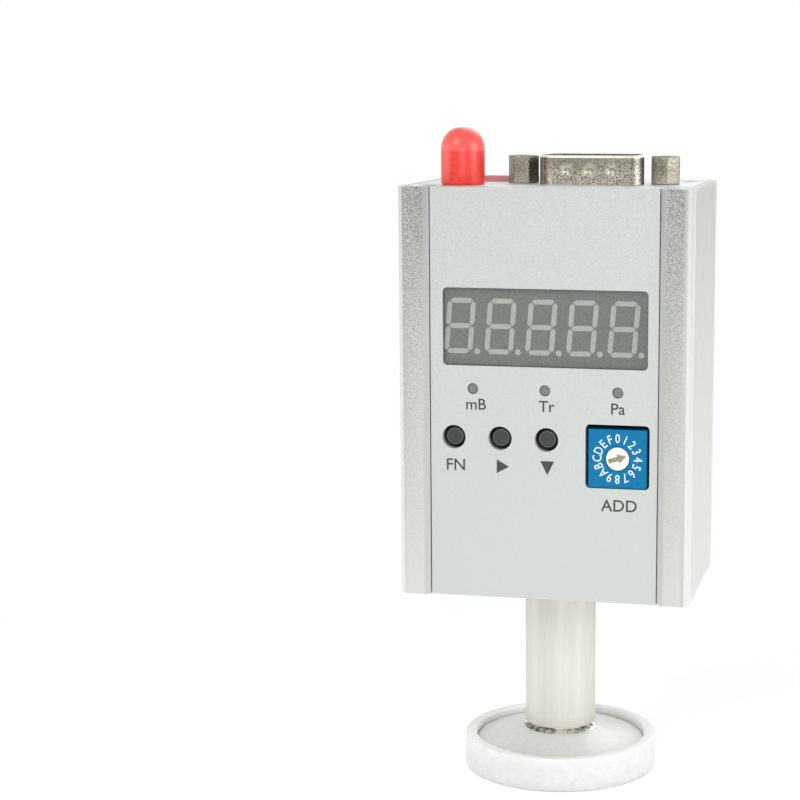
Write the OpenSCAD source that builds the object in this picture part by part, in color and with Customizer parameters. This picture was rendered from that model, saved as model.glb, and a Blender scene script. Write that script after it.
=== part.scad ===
// Compact vacuum gauge: extruded display housing on a sensor tube with a small flange.
// +X is right seen from the front, the panel faces -Y, +Z is up.
// The origin is on the tube's axis, at the flat bottom of the flange's dust cap.

/* [Housing] */
// Width of the extruded housing
body_w = 50.5; // [48:0.5:58]
// Depth of the extruded housing
body_d = 35; // [33:0.5:42]
// Height of the extruded housing
body_h = 70.5; // [68:0.5:80]
// Radius of the housing's outer corners
corner_r = 1.5; // [1:0.25:3]
// Thickness of the side and rear walls
wall = 2; // [1.8:0.1:2.2]
// Thickness of the wall behind the front panel
front_wall = 1.5; // [1.2:0.1:2]
// Radius of the shallow flutes along both sides
flute_r = 0.45; // [0.3:0.05:0.5]
// Distance between flutes
flute_pitch = 1.5; // [1.2:0.1:2]
// Radius of the screw bosses in the corners
boss_r = 2.6; // [2.4:0.1:3]
// Distance of a screw boss from the housing's side
boss_side = 4.4; // [4.2:0.1:4.6]
// Distance of a screw boss from the housing's front and rear
boss_depth = 6.2; // [6:0.1:6.6]

/* [Front panel] */
// Width of the front panel
panel_w = 39.2; // [39:0.1:40]
// Thickness of the front panel
panel_t = 1; // [0.8:0.1:1.2]
// How far the panel lies behind the corner pillars
panel_sink = 0.6; // [0.4:0.1:1]
// Groove between the panel and each pillar
panel_gap = 0.2; // [0.1:0.05:0.3]
// Width of the bevel on each pillar's inner edge
pillar_bevel = 1; // [0.6:0.1:1.4]

/* [Display] */
// Width of the display window
display_w = 35.3; // [34:0.1:36]
// Height of the display window
display_h = 13.3; // [12:0.1:14]
// Display centre, right of the panel's middle
display_x = 0.2; // [-0.4:0.1:0.4]
// Display centre above the housing's lower end
display_z = 46.9; // [46:0.1:48]
// Thickness of the smoked window on the display
window_t = 0.8; // [0.6:0.1:1.2]
// Radius of the corners of the panel's windows
window_r = 0.8; // [0.4:0.1:1.2]

/* [Controls] */
// Diameter of the button plungers
button_d = 3.4; // [3.2:0.1:3.6]
// Diameter of the button holes
button_hole_d = 4.1; // [4:0.1:4.6]
// Distance between the buttons
button_pitch = 8.08; // [8:0.02:9]
// First button, left of the panel's middle
button_x = -15.57; // [-16:0.01:-15]
// Buttons above the housing's lower end
button_z = 27.87; // [27:0.01:29]
// How far the plungers lie behind the panel's face
button_sink = 0.8; // [0.2:0.1:1]
// Diameter of the unit lamps
lamp_d = 1.7; // [1.5:0.1:2]
// Distance between the unit lamps
lamp_pitch = 12.51; // [12:0.01:13]
// Middle lamp, right of the panel's middle
lamp_x = 0.29; // [-0.3:0.01:0.5]
// Unit lamps above the housing's lower end
lamp_z = 36.31; // [36:0.01:36.6]
// Side of the square address switch
selector_w = 10; // [9.5:0.1:10.5]
// Gap around the address switch in its window
selector_gap = 0.49; // [0.3:0.01:0.6]
// Address switch centre, right of the panel's middle
selector_x = 12.79; // [12.5:0.01:13]
// Address switch centre above the housing's lower end
selector_z = 25.34; // [25:0.01:26]
// How far the address switch lies behind the panel's face
selector_sink = 0.3; // [0.2:0.1:1.4]
// How far the address switch sits below the middle of its window
selector_drop = 0.35; // [0:0.05:0.4]
// Diameter of the address dial
dial_d = 3.95; // [3.8:0.05:5]
// Pointing direction of the dial's arrow, counted from the right
dial_turn = 18; // [0:1:90]

/* [Top] */
// Thickness of the two end plates
plate_t = 2; // [1.6:0.1:2.4]
// Distance between the connector's jackscrews
jack_pitch = 24.99; // [24.99:0.01:25.2]
// Connector centre, right of the middle
dsub_x = 5.59; // [5:0.01:6]
// Connector centre behind the tube's axis
dsub_y = 0.2; // [-0.3:0.1:0.8]
// Height of the connector's shell above the top plate
dsub_h = 5; // [4.6:0.1:6.4]
// Width of the connector's shell
dsub_w = 18.2; // [17.6:0.1:18.6]
// Depth of the connector's shell
dsub_d = 9.6; // [9.2:0.1:10]
// Sheet thickness of the connector's shell
dsub_sheet = 0.6; // [0.4:0.05:0.8]
// Diameter of the contact pins
pin_d = 1; // [0.9:0.05:1.2]
// Distance between pins of one row
pin_pitch = 2.77; // [2.7:0.01:2.8]
// Distance between the two pin rows
pin_rows = 2.84; // [2.8:0.01:2.9]
// Width across flats of the jackscrews
jack_af = 4.75; // [4.5:0.05:5]
// Height of the jackscrews' hexagon
jack_h = 4.8; // [4.4:0.1:5.4]
// Diameter of the jackscrews' threaded hole
jack_hole_d = 2.4; // [2.2:0.05:2.6]
// Adjustment port, left of the middle
port_x = -16.1; // [-17:0.1:-15.5]
// Adjustment port in front of the tube's axis
port_y = -7.2; // [-7.3:0.1:-6.5]
// Outer diameter of the port's cap
cap_d = 7.6; // [7.2:0.1:8.4]
// Height of the port's cap
cap_h = 9.7; // [9.2:0.1:12]
// Diameter of the port's stem
stem_d = 4.2; // [3.8:0.1:4.4]
// Thickness of the cap's strap
strap_t = 1; // [0.8:0.1:1.2]
// Width of the cap's strap
strap_w = 2; // [1.6:0.1:2.4]

/* [Sensor and flange] */
// Outer diameter of the sensor tube
tube_d = 12.7; // [12:0.1:13.5]
// Bore of the sensor tube
tube_bore_d = 9; // [8.4:0.1:9.2]
// Length of the sensor tube below the housing
tube_l = 26.5; // [20:0.1:40]
// Diameter of the tube's threaded end inside the housing
tube_thread_d = 11; // [10.6:0.1:11.4]
// Diameter of the neck between tube and flange
neck_d = 10.6; // [10.4:0.1:11.4]
// Length of the neck up from the flange's cone
neck_l = 1; // [0.8:0.1:6]
// Outer diameter of the flange
flange_d = 30; // [28:0.5:32]
// Thickness of the flange's rim
flange_rim = 3; // [2.6:0.1:3.4]
// Slope of the flange's back for its clamp
flange_slope = 15; // [12:0.5:18]
// Diameter of the centring recess in the flange
recess_d = 17.2; // [16.8:0.1:17.6]
// Depth of the centring recess
recess_l = 2.6; // [2.2:0.1:2.8]
// Wall of the flange's dust cap
dust_wall = 2.05; // [1.4:0.05:2.4]
// Floor of the flange's dust cap
dust_floor = 1.8; // [1.4:0.1:2.4]
// How far the dust cap's lip stands above the flange's rim
dust_lip = 1.2; // [0.8:0.1:2]

/* [Hidden] */
$fn = 64;

// Clearances
running_gap = 0.15;
fit_gap = 0.1;
screw_gap = 0.15;
dust_gap = 0.2;
cut = 1;

// Heights from the dust cap's floor up to the cap of the port
flange_face_z = dust_floor;
flange_edge_z = flange_face_z + flange_rim;
neck_foot_w = 1.2;
neck_foot_h = 0.6;
cone_end_r = neck_d / 2 + neck_foot_w;
cone_h = (flange_d / 2 - cone_end_r) * tan(flange_slope);
neck_z = flange_edge_z + cone_h;
tube_z = neck_z + neck_l;
body_z = tube_z + tube_l;
body_top = body_z + body_h;

// Depths from the pillars' faces back to the circuit board
front_y = -body_d / 2;
panel_y = front_y + panel_sink;
wall_y = panel_y + panel_t;
inner_y = wall_y + front_wall;
window_y = panel_y + fit_gap;
display_y = window_y + window_t;
board_gap = 7.8;
board_y = inner_y + board_gap;
board_t = 1.6;

// Housing details
channel_w = panel_w + 2 * panel_gap;
cavity_w = body_w - 2 * wall;
cavity_back = body_d / 2 - wall;
rim_w = 1.2;
pocket_r = 2;
pocket_w = body_w - 2 * rim_w;
pocket_step = 0.9;
pocket_front = wall_y + pocket_step;
pocket_d = body_d / 2 - rim_w - pocket_front;
pocket_mid_y = pocket_front + pocket_d / 2;
boss_x = body_w / 2 - boss_side;
boss_y = body_d / 2 - boss_depth;
screw_r = 1.5;
screw_head_r = 2.8;
screw_l = 9;
screw_sink = 0.1;
socket_af = 2;
socket_l = 1.2;
flute_margin = 2.5;
flute_run = body_d - 2 * (corner_r + flute_margin);
flutes = floor(flute_run / flute_pitch);

// Circuit board and what stands on it
board_h = 46;
board_rise = 14;
board_low = body_z + board_rise;
board_high = board_low + board_h;
spacer_r = 2;
spacer_x = boss_x - boss_r - spacer_r - fit_gap;
board_edge = 2.85;
board_w = 2 * (spacer_x + board_edge);
module_side = 2.2;
module_step = 0.3;
spacer_inset = 3;
spacer_low = board_low + spacer_inset;
spacer_high = board_high - spacer_inset;
board_screw_r = 1;
board_screw_head_r = 1.9;
board_screw_head = 1.4;
board_screw_bite = 3;
switch_w = 5.2;
switch_t = 3.5;
switch_well = 1.2;
button_reach = 0.4;
button_rim_w = 0.5;
button_rim_h = 0.35;
selector_mid_z = body_z + selector_z - selector_drop;
lamp_sink = 0.3;
dial_t = 1.5;
dial_slot = 0.6;
// Outline of the dial's arrow slot in parts of the dial's diameter, pointing right
dial_arrow = [[-0.42, -0.1], [0.02, -0.1], [0.02, -0.21], [0.4, 0],
              [0.02, 0.21], [0.02, 0.1], [-0.42, 0.1]];
dial_spindle_r = 1;
dial_spindle = 2;

// Connector
dsub_slope = 10;
dsub_corner = 2.6;
dsub_flange_w = 30.8;
dsub_flange_d = 12.5;
dsub_flange_t = 1;
dsub_under = body_top - plate_t - dsub_flange_t;
dsub_rear = 8;
dsub_floor = 0.8;
pin_rise = 3.4;
pin_tail = 3;
dimple_r = 0.9;
dimple_depth = 0.3;
dimple_pitch = 3.9;
dimple_z = 2.2;
stud_r = 1.4;
stud_l = 4;
jack_hole_l = 4;
jack_turn = -18;

// Port
stem_h = 7;
stem_tail = 6;
stem_hole_r = 1;
stem_hole_l = 3;
port_nut_af = 5.5;
port_nut_t = 2;
cap_dome = 3.8;
cap_flat_r = 0.6;
cap_steps = 12;
strap_eye_r = 1.8;
strap_peg_r = 0.8;
strap_y = dsub_y + jack_af / sqrt(3) + strap_eye_r + running_gap;

// Sensor
tube_inside = 9;
tube_top = body_z + plate_t + tube_inside;
tube_nut_af = 17;
tube_nut_t = 5;
header_t = 2.4;
post_r = 0.5;
post_x = 2;
post_drop = 18;
post_rise = 3;
post_low = tube_top - header_t - post_drop;
filament_r = 0.3;
filament_rise = 0.8;

// Rectangle with round corners, centred
module rounded_rect(w, d, r) {
    square([w - 2 * r, d], center = true);
    square([w, d - 2 * r], center = true);
    for (sx = [-1, 1], sy = [-1, 1])
        translate([sx * (w / 2 - r), sy * (d / 2 - r)]) circle(r);
}

// Prism along +Y that stands on the plane y, from an outline drawn in X and Z
module along_y(y, l) {
    translate([0, y + l, 0]) rotate([90, 0, 0]) linear_extrude(l) children();
}

// Round bar along +Y
module bar_y(x, y, z, r, l) {
    translate([x, y + l, z]) rotate([90, 0, 0]) cylinder(r = r, h = l);
}

// Places of the corner screws
module at_bosses() {
    for (sx = [-1, 1], sy = [-1, 1]) translate([sx * boss_x, sy * boss_y]) children();
}

// Places of the circuit board's spacers
module at_spacers() {
    for (sx = [-1, 1], z = [spacer_low, spacer_high]) translate([sx * spacer_x, 0, z]) children();
}

function button_place(i) = button_x + i * button_pitch;

// All openings of the front, through the panel and the wall behind it
module front_openings(y, l) {
    along_y(y, l) {
        translate([display_x, body_z + display_z]) rounded_rect(display_w, display_h, window_r);
        translate([selector_x, body_z + selector_z])
            rounded_rect(selector_w + 2 * selector_gap, selector_w + 2 * selector_gap, window_r);
    }
    for (i = [0:2]) {
        bar_y(button_place(i), y, body_z + button_z, button_hole_d / 2, l);
        bar_y(lamp_x + (i - 1) * lamp_pitch, y, body_z + lamp_z, lamp_d / 2 + fit_gap, l);
    }
}

// Cross-section of the extrusion
module housing_profile() {
    difference() {
        union() {
            difference() {
                rounded_rect(body_w, body_d, corner_r);
                polygon([[-channel_w / 2, wall_y], [-channel_w / 2, panel_y],
                         [-channel_w / 2 - pillar_bevel, front_y],
                         [-channel_w / 2 - pillar_bevel, front_y - cut],
                         [channel_w / 2 + pillar_bevel, front_y - cut],
                         [channel_w / 2 + pillar_bevel, front_y],
                         [channel_w / 2, panel_y], [channel_w / 2, wall_y]]);
                translate([0, (inner_y + cavity_back) / 2])
                    rounded_rect(cavity_w, cavity_back - inner_y, pocket_r);
                for (sx = [-1, 1], i = [0:flutes])
                    translate([sx * body_w / 2, (i - flutes / 2) * flute_pitch])
                        circle(flute_r, $fn = 24);
            }
            at_bosses() circle(boss_r);
        }
        at_bosses() circle(screw_r);
    }
}

// Outline of the end plates' pocket, drawn in by a gap
module plate_outline(gap) {
    translate([0, pocket_mid_y])
        rounded_rect(pocket_w - 2 * gap, pocket_d - 2 * gap, pocket_r - gap);
}

module housing() {
    color([0.72, 0.73, 0.73]) difference() {
        translate([0, 0, body_z]) linear_extrude(body_h) housing_profile();
        for (z = [body_z - cut, body_top - plate_t])
            translate([0, 0, z]) linear_extrude(plate_t + cut) plate_outline(0);
        front_openings(wall_y - cut, front_wall + 2 * cut);
    }
}

module front_panel() {
    color([0.84, 0.85, 0.85]) difference() {
        translate([-panel_w / 2, panel_y, body_z]) cube([panel_w, panel_t, body_h]);
        front_openings(panel_y - cut, panel_t + 2 * cut);
    }
}

// Countersunk hole for a corner screw, its head up
module screw_sinking() {
    translate([0, 0, -plate_t - cut]) cylinder(r = screw_r + screw_gap, h = plate_t + 2 * cut);
    translate([0, 0, screw_r - screw_head_r])
        cylinder(r1 = screw_r + screw_gap, r2 = screw_head_r + screw_gap, h = screw_head_r - screw_r);
}

module top_plate() {
    color([0.7, 0.71, 0.71]) difference() {
        translate([0, 0, body_top - plate_t]) linear_extrude(plate_t) plate_outline(fit_gap);
        translate([0, 0, body_top]) at_bosses() screw_sinking();
        translate([dsub_x, dsub_y, body_top - plate_t - cut]) linear_extrude(plate_t + 2 * cut)
            dsub_outline(-fit_gap);
        translate([dsub_x, dsub_y, body_top - plate_t - cut]) at_jacks()
            cylinder(r = stud_r + screw_gap, h = plate_t + 2 * cut);
        translate([port_x, port_y, body_top - plate_t - cut])
            cylinder(r = stem_d / 2 + fit_gap, h = plate_t + 2 * cut);
        translate([dsub_x - jack_pitch / 2, strap_y, body_top - plate_t - cut])
            cylinder(r = strap_peg_r + fit_gap, h = plate_t + 2 * cut);
    }
}

module bottom_plate() {
    color([0.7, 0.71, 0.71]) difference() {
        translate([0, 0, body_z]) linear_extrude(plate_t) plate_outline(fit_gap);
        translate([0, 0, body_z]) mirror([0, 0, 1]) at_bosses() screw_sinking();
        translate([0, 0, body_z - cut]) cylinder(d = tube_thread_d + 2 * fit_gap, h = plate_t + 2 * cut);
    }
}

// Countersunk screw, its head just under the plane z = 0
module end_screw() {
    shank_r = screw_r - fit_gap;
    difference() {
        rotate_extrude() polygon([[0, -screw_l], [shank_r, -screw_l],
            [shank_r, shank_r - screw_head_r - screw_sink], [screw_head_r, -screw_sink], [0, -screw_sink]]);
        translate([0, 0, -screw_sink - socket_l])
            cylinder(d = socket_af / cos(30), h = socket_l + cut, $fn = 6);
    }
}

module end_screws() {
    color([0.75, 0.75, 0.76]) {
        translate([0, 0, body_top]) at_bosses() end_screw();
        translate([0, 0, body_z]) mirror([0, 0, 1]) at_bosses() end_screw();
    }
}

module display_window() {
    color([0.4, 0.4, 0.41]) translate([display_x, 0, body_z + display_z]) along_y(window_y, window_t)
        rounded_rect(display_w - 2 * fit_gap, display_h - 2 * fit_gap, window_r - fit_gap);
}

// Display with a face that fills the window and a narrower body on the board
module display_module() {
    face_w = display_w - 2 * fit_gap;
    face_h = display_h - 2 * fit_gap;
    color([0.2, 0.2, 0.2]) translate([display_x, 0, body_z + display_z]) {
        along_y(display_y, inner_y - display_y) rounded_rect(face_w, face_h, window_r - fit_gap);
        along_y(inner_y, board_y - inner_y)
            square([face_w - 2 * module_side, face_h - 2 * module_step], center = true);
    }
}

module main_board() {
    color([0.1, 0.35, 0.2]) difference() {
        along_y(board_y, board_t) translate([-board_w / 2, board_low]) square([board_w, board_h]);
        at_spacers() bar_y(0, board_y - cut, 0, board_screw_r + screw_gap, board_t + 2 * cut);
    }
}

module board_spacers() {
    color([0.8, 0.8, 0.8]) difference() {
        at_spacers() bar_y(0, inner_y, 0, spacer_r, board_y - inner_y);
        at_spacers() bar_y(0, inner_y + cut, 0, board_screw_r + fit_gap, board_y - inner_y);
    }
}

module board_screws() {
    color([0.75, 0.75, 0.76]) at_spacers() {
        bar_y(0, board_y + board_t, 0, board_screw_head_r, board_screw_head);
        bar_y(0, board_y - board_screw_bite, 0, board_screw_r, board_t + board_screw_bite);
    }
}

// One round plunger with a sloped rim, at its place in the row
module button(i) {
    l = board_y - switch_t + button_reach - panel_y - button_sink;
    color([0.12, 0.12, 0.12])
        translate([button_place(i), panel_y + button_sink + l, body_z + button_z]) rotate([90, 0, 0])
            rotate_extrude() polygon([[0, 0], [button_d / 2, 0], [button_d / 2, l - button_rim_h],
                                      [button_d / 2 - button_rim_w, l], [0, l]]);
}

module button_fn() { button(0); }
module button_right() { button(1); }
module button_down() { button(2); }

module button_switches() {
    color([0.15, 0.15, 0.16]) for (i = [0:2]) difference() {
        translate([button_place(i), 0, body_z + button_z])
            along_y(board_y - switch_t, switch_t) square(switch_w, center = true);
        bar_y(button_place(i), board_y - switch_t - cut, body_z + button_z,
              button_d / 2 + running_gap, switch_well + cut);
    }
}

module selector_body() {
    y = panel_y + selector_sink;
    color([0.1, 0.5, 0.78]) difference() {
        translate([selector_x, 0, selector_mid_z])
            along_y(y, board_y - y) square(selector_w, center = true);
        bar_y(selector_x, y - cut, selector_mid_z, dial_d / 2 + running_gap,
              dial_t + running_gap + cut);
        bar_y(selector_x, y, selector_mid_z, dial_spindle_r + running_gap,
              dial_t + dial_spindle + 2 * running_gap);
    }
}

module selector_dial() {
    y = panel_y + selector_sink;
    color([0.92, 0.92, 0.9]) difference() {
        union() {
            bar_y(selector_x, y, selector_mid_z, dial_d / 2, dial_t);
            bar_y(selector_x, y + dial_t, selector_mid_z, dial_spindle_r, dial_spindle);
        }
        translate([selector_x, y - cut, selector_mid_z]) rotate([0, -dial_turn, 0])
            along_y(0, dial_slot + cut) scale(dial_d) polygon(dial_arrow);
    }
}

module unit_lamps() {
    color([0.45, 0.45, 0.44]) for (i = [-1:1])
        bar_y(lamp_x + i * lamp_pitch, panel_y + lamp_sink, body_z + lamp_z, lamp_d / 2,
              board_y - panel_y - lamp_sink);
}

// Points of a corner arc with the given centre, radius and angles
function arc_points(c, r, a0, a1, n = 8) =
    [for (i = [0:n]) c + r * [cos(a0 + (a1 - a0) * i / n), sin(a0 + (a1 - a0) * i / n)]];

// D-shaped outline of the connector, its wide side to the front, drawn in by a gap
module dsub_outline(gap) {
    w = dsub_w / 2 - gap;
    d = dsub_d / 2 - gap;
    r = dsub_corner - gap;
    front_x = w - r;
    back_x = w - r - (2 * d - 2 * r) * tan(dsub_slope);
    polygon(concat(
        arc_points([front_x, -d + r], r, -90, dsub_slope),
        arc_points([back_x, d - r], r, dsub_slope, 90),
        arc_points([-back_x, d - r], r, 90, 180 - dsub_slope),
        arc_points([-front_x, -d + r], r, 180 - dsub_slope, 270)));
}

module at_jacks() {
    for (i = [0, 1]) translate([(i - 0.5) * jack_pitch, 0]) rotate(i * jack_turn) children();
}

module dsub_shell() {
    color([0.72, 0.68, 0.6]) translate([dsub_x, dsub_y, 0]) difference() {
        union() {
            translate([0, 0, body_top - plate_t]) linear_extrude(plate_t + dsub_h) dsub_outline(0);
            translate([0, 0, dsub_under]) linear_extrude(dsub_flange_t) difference() {
                rounded_rect(dsub_flange_w, dsub_flange_d, pocket_r);
                at_jacks() circle(stud_r + screw_gap);
            }
        }
        translate([0, 0, dsub_under - cut])
            linear_extrude(plate_t + dsub_flange_t + dsub_h + 2 * cut) dsub_outline(dsub_sheet);
        for (i = [-1:1])
            translate([i * dimple_pitch, -dsub_d / 2 - dimple_r + dimple_depth, body_top + dimple_z])
                sphere(dimple_r);
    }
}

// Places of the contact pins, five in front and four behind
module at_pins() {
    for (i = [-2:2]) translate([i * pin_pitch, -pin_rows / 2]) children();
    for (i = [-1.5:1.5]) translate([i * pin_pitch, pin_rows / 2]) children();
}

module dsub_insert() {
    l = dsub_rear + dsub_flange_t + plate_t + dsub_floor;
    color([0.12, 0.12, 0.12]) translate([dsub_x, dsub_y, dsub_under - dsub_rear]) difference() {
        linear_extrude(l) dsub_outline(dsub_sheet + fit_gap / 2);
        translate([0, 0, -cut]) at_pins() cylinder(d = pin_d + fit_gap, h = l + 2 * cut);
    }
}

module dsub_pins() {
    low = dsub_under - dsub_rear - pin_tail;
    high = body_top + dsub_floor + pin_rise;
    color([0.85, 0.7, 0.35]) translate([dsub_x, dsub_y, 0]) at_pins()
        rotate_extrude() polygon([[0, low], [pin_d / 2, low], [pin_d / 2, high - pin_d / 2],
                                  [pin_d / 4, high], [0, high]]);
}

module jackscrews() {
    color([0.75, 0.72, 0.66]) translate([dsub_x, dsub_y, body_top]) at_jacks() difference() {
        union() {
            cylinder(d = jack_af / cos(30), h = jack_h, $fn = 6);
            translate([0, 0, -stud_l]) cylinder(r = stud_r, h = stud_l);
        }
        translate([0, 0, jack_h - jack_hole_l]) cylinder(d = jack_hole_d, h = jack_hole_l + cut);
    }
}

module port_stem() {
    color([0.8, 0.72, 0.45]) translate([port_x, port_y, body_top]) difference() {
        translate([0, 0, -plate_t - stem_tail]) cylinder(d = stem_d, h = plate_t + stem_tail + stem_h);
        translate([0, 0, stem_h - stem_hole_l]) cylinder(r = stem_hole_r, h = stem_hole_l + cut);
    }
}

module port_nut() {
    color([0.75, 0.75, 0.76]) translate([port_x, port_y, body_top - plate_t - port_nut_t]) difference() {
        cylinder(d = port_nut_af / cos(30), h = port_nut_t, $fn = 6);
        translate([0, 0, -cut]) cylinder(d = stem_d + fit_gap, h = port_nut_t + 2 * cut);
    }
}

// Cap with a straight skirt and a flattened dome
module port_cap() {
    color([0.95, 0.2, 0.2]) translate([port_x, port_y, body_top]) difference() {
        rotate_extrude() {
            square([cap_d / 2, cap_h - cap_dome]);
            polygon(concat([[0, cap_h - cap_dome]],
                [for (i = [0:cap_steps])
                    [cap_flat_r + (cap_d / 2 - cap_flat_r) * cos(i * 90 / cap_steps),
                     cap_h - cap_dome + cap_dome * sin(i * 90 / cap_steps)]],
                [[0, cap_h]]));
        }
        translate([0, 0, -cut]) cylinder(d = stem_d + 2 * running_gap, h = stem_h + running_gap + cut);
    }
}

// Strap from behind the cap to an eye behind the left jackscrew, pegged into the top plate
module cap_strap() {
    eye_x = dsub_x - jack_pitch / 2;
    cap_back = port_y + cap_d / 2 + running_gap;
    color([0.6, 0.1, 0.1]) translate([0, 0, body_top]) {
        linear_extrude(strap_t) {
            translate([eye_x, strap_y]) circle(strap_eye_r);
            translate([port_x, strap_y - strap_w / 2]) square([eye_x - port_x, strap_w]);
            translate([port_x, strap_y]) circle(strap_w / 2);
            translate([port_x - strap_w / 2, cap_back]) square([strap_w, strap_y - cap_back]);
        }
        translate([eye_x, strap_y, -plate_t]) cylinder(r = strap_peg_r, h = plate_t + strap_t);
    }
}

// Tube with a step that the bottom plate rests on, threaded above it
module sensor_tube() {
    color([0.78, 0.78, 0.78]) rotate_extrude() polygon([
        [tube_bore_d / 2, tube_z], [tube_d / 2, tube_z], [tube_d / 2, body_z],
        [tube_thread_d / 2, body_z], [tube_thread_d / 2, tube_top], [tube_bore_d / 2, tube_top]]);
}

module flange() {
    color([0.76, 0.76, 0.75]) rotate_extrude() polygon([
        [tube_bore_d / 2, flange_face_z + recess_l], [recess_d / 2, flange_face_z + recess_l],
        [recess_d / 2, flange_face_z], [flange_d / 2, flange_face_z], [flange_d / 2, flange_edge_z],
        [cone_end_r, neck_z], [neck_d / 2, neck_z + neck_foot_h],
        [neck_d / 2, tube_z], [tube_bore_d / 2, tube_z]]);
}

module tube_nut() {
    color([0.75, 0.75, 0.76]) translate([0, 0, body_z + plate_t]) difference() {
        cylinder(d = tube_nut_af / cos(30), h = tube_nut_t, $fn = 6);
        translate([0, 0, -cut]) cylinder(d = tube_thread_d + fit_gap, h = tube_nut_t + 2 * cut);
    }
}

module sensor_header() {
    color([0.5, 0.55, 0.5]) translate([0, 0, tube_top - header_t]) difference() {
        cylinder(d = tube_bore_d - fit_gap, h = header_t);
        for (sx = [-1, 1]) translate([sx * post_x, 0, -cut])
            cylinder(r = post_r + fit_gap / 2, h = header_t + 2 * cut);
    }
}

module filament_posts() {
    color([0.8, 0.75, 0.6]) for (sx = [-1, 1]) translate([sx * post_x, 0, post_low])
        cylinder(r = post_r, h = tube_top + post_rise - post_low);
}

// Heated wire stretched between the posts
module filament() {
    span = 2 * (post_x - post_r);
    color([0.85, 0.83, 0.8]) translate([-span / 2, 0, post_low + filament_rise]) rotate([0, 90, 0])
        cylinder(r = filament_r, h = span);
}

module dust_cap() {
    color([0.88, 0.89, 0.88]) difference() {
        cylinder(r = flange_d / 2 + dust_gap + dust_wall, h = flange_edge_z + dust_lip);
        translate([0, 0, dust_floor]) cylinder(r = flange_d / 2 + dust_gap, h = flange_rim + dust_lip + cut);
    }
}

housing();
front_panel();
top_plate();
bottom_plate();
end_screws();
display_window();
display_module();
main_board();
board_spacers();
board_screws();
button_fn();
button_right();
button_down();
button_switches();
selector_body();
selector_dial();
unit_lamps();
dsub_shell();
dsub_insert();
dsub_pins();
jackscrews();
port_stem();
port_nut();
port_cap();
cap_strap();
sensor_tube();
flange();
tube_nut();
sensor_header();
filament_posts();
filament();
dust_cap();
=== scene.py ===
import math

import bmesh
import bpy
from mathutils import Matrix, Vector


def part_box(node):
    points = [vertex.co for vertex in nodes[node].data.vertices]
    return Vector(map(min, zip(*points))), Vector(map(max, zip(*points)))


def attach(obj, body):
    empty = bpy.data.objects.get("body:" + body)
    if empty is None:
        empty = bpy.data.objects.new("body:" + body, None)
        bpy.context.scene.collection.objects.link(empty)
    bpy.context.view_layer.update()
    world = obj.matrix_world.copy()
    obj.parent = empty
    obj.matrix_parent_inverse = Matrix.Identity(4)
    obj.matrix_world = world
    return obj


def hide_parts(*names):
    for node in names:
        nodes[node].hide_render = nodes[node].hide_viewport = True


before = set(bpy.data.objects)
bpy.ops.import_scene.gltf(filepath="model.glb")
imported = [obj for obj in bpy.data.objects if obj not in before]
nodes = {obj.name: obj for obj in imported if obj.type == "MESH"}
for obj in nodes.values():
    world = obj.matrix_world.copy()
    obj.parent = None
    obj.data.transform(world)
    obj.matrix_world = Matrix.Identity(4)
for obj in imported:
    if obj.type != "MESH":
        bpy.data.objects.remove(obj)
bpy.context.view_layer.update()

scene = bpy.context.scene
mm = 0.001

# Camera and studio
# The camera stands a little to the right of the gauge and above it, as in the photograph.
# Soft lamps all around light it on a pale floor, and what lies beyond is white.
panel_low, panel_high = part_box("front_panel")
target = Vector((-4.505 * mm, panel_low.y, panel_low.z + 31.096 * mm))
camera_yaw = math.radians(11.963)
camera_pitch = math.radians(9.401)
camera_distance = 345.997 * mm
focal_px = 2032.895
middle_px = (517.071, 420.286)
image_px = 800
look = Vector((-math.sin(camera_yaw) * math.cos(camera_pitch),
               math.cos(camera_yaw) * math.cos(camera_pitch), -math.sin(camera_pitch)))
camera_data = bpy.data.cameras.new("camera")
camera_data.sensor_width = 36
camera_data.lens = focal_px / image_px * camera_data.sensor_width
camera_data.shift_x = (image_px / 2 - middle_px[0]) / image_px
camera_data.shift_y = (middle_px[1] - image_px / 2) / image_px
camera_data.clip_start = 10 * mm
camera = bpy.data.objects.new("camera", camera_data)
camera.location = target - look * camera_distance
camera.rotation_euler = look.to_track_quat("-Z", "Y").to_euler()
scene.collection.objects.link(camera)
scene.camera = camera
scene.view_settings.view_transform = "Standard"


# A new shader node of one kind, with its settings.
def add_node(tree, kind, **settings):
    node = tree.nodes.new(kind)
    for name, value in settings.items():
        setattr(node, name, value)
    return node


# What the camera, a mirror and clear plastic see beyond the object is white; the light it gives is less.
def white_to_the_eye(tree):
    path = add_node(tree, "ShaderNodeLightPath")
    seen = add_node(tree, "ShaderNodeMath", operation="MAXIMUM")
    tree.links.new(path.outputs["Is Camera Ray"], seen.inputs[0])
    tree.links.new(path.outputs["Is Glossy Ray"], seen.inputs[1])
    either = add_node(tree, "ShaderNodeMath", operation="MAXIMUM")
    tree.links.new(seen.outputs[0], either.inputs[0])
    tree.links.new(path.outputs["Is Transmission Ray"], either.inputs[1])
    return either.outputs[0]


world = bpy.data.worlds.new("studio")
world.use_nodes = True
scene.world = world
sky = world.node_tree
room = sky.nodes["Background"]
room.inputs["Color"].default_value = (1, 1, 1, 1)
room_light = 0.42
level = add_node(sky, "ShaderNodeMapRange")
level.inputs["To Min"].default_value = room_light
level.inputs["To Max"].default_value = 1.0
sky.links.new(white_to_the_eye(sky), level.inputs["Value"])
sky.links.new(level.outputs["Result"], room.inputs["Strength"])
lamp_aim = Vector((0, 0, 0.07))


# A round soft lamp that looks at the middle of the housing.
def lamp(name, place, size, power):
    data = bpy.data.lights.new(name, "AREA")
    data.shape = "DISK"
    data.size = size
    data.energy = power
    obj = bpy.data.objects.new(name, data)
    obj.location = place
    obj.rotation_euler = (lamp_aim - obj.location).to_track_quat("-Z", "Y").to_euler()
    scene.collection.objects.link(obj)


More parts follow.
